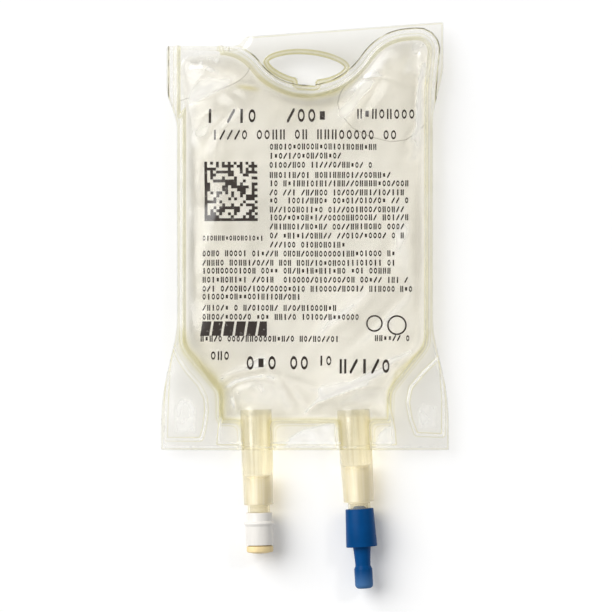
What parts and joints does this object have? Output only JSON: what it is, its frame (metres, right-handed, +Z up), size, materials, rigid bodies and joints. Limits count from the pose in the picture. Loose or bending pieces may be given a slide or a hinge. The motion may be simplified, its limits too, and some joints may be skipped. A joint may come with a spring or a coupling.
{
  "type": "iv fluid bag",
  "caption": "Small clear drip bag of saline lying flat, with a hanging eyelet, a capped injection port and a delivery port under a pull-off protector.",
  "frame": {"origin": "centre of the bag's outline, on the surface that it lies on", "axes": "+X to the right across the front sheet, +Y from the ports towards the hanging eyelet, +Z up, out of the printed front"},
  "size_m": [0.083, 0.1636, 0.011],
  "materials": {
    "clear_sheet": "clear soft PVC, glossy",
    "clear_tube": "clear PVC tube with a slight yellow tint",
    "milky_tube": "translucent milky PVC tube",
    "septum_rubber": "matt tan rubber",
    "white_band": "satin white plastic",
    "blue_protector": "satin deep blue plastic",
    "saline": "clear liquid"
  },
  "bodies": {
    "bag": {"front_sheet": "clear_sheet", "back_sheet": "clear_sheet", "saline_fill": "saline", "injection_port_tube": "clear_tube", "delivery_port_tube": "clear_tube", "injection_membrane_tube": "milky_tube", "delivery_membrane_tube": "milky_tube", "injection_septum": "septum_rubber", "injection_band": "white_band"},
    "protector": {"port_protector": "blue_protector"}
  },
  "joints": [
    {"name": "protector_pull", "type": "slide", "parent": "bag", "child": "protector", "axis": [0.0628, -0.998, 0], "range_m": [0, 0.03]}
  ]
}
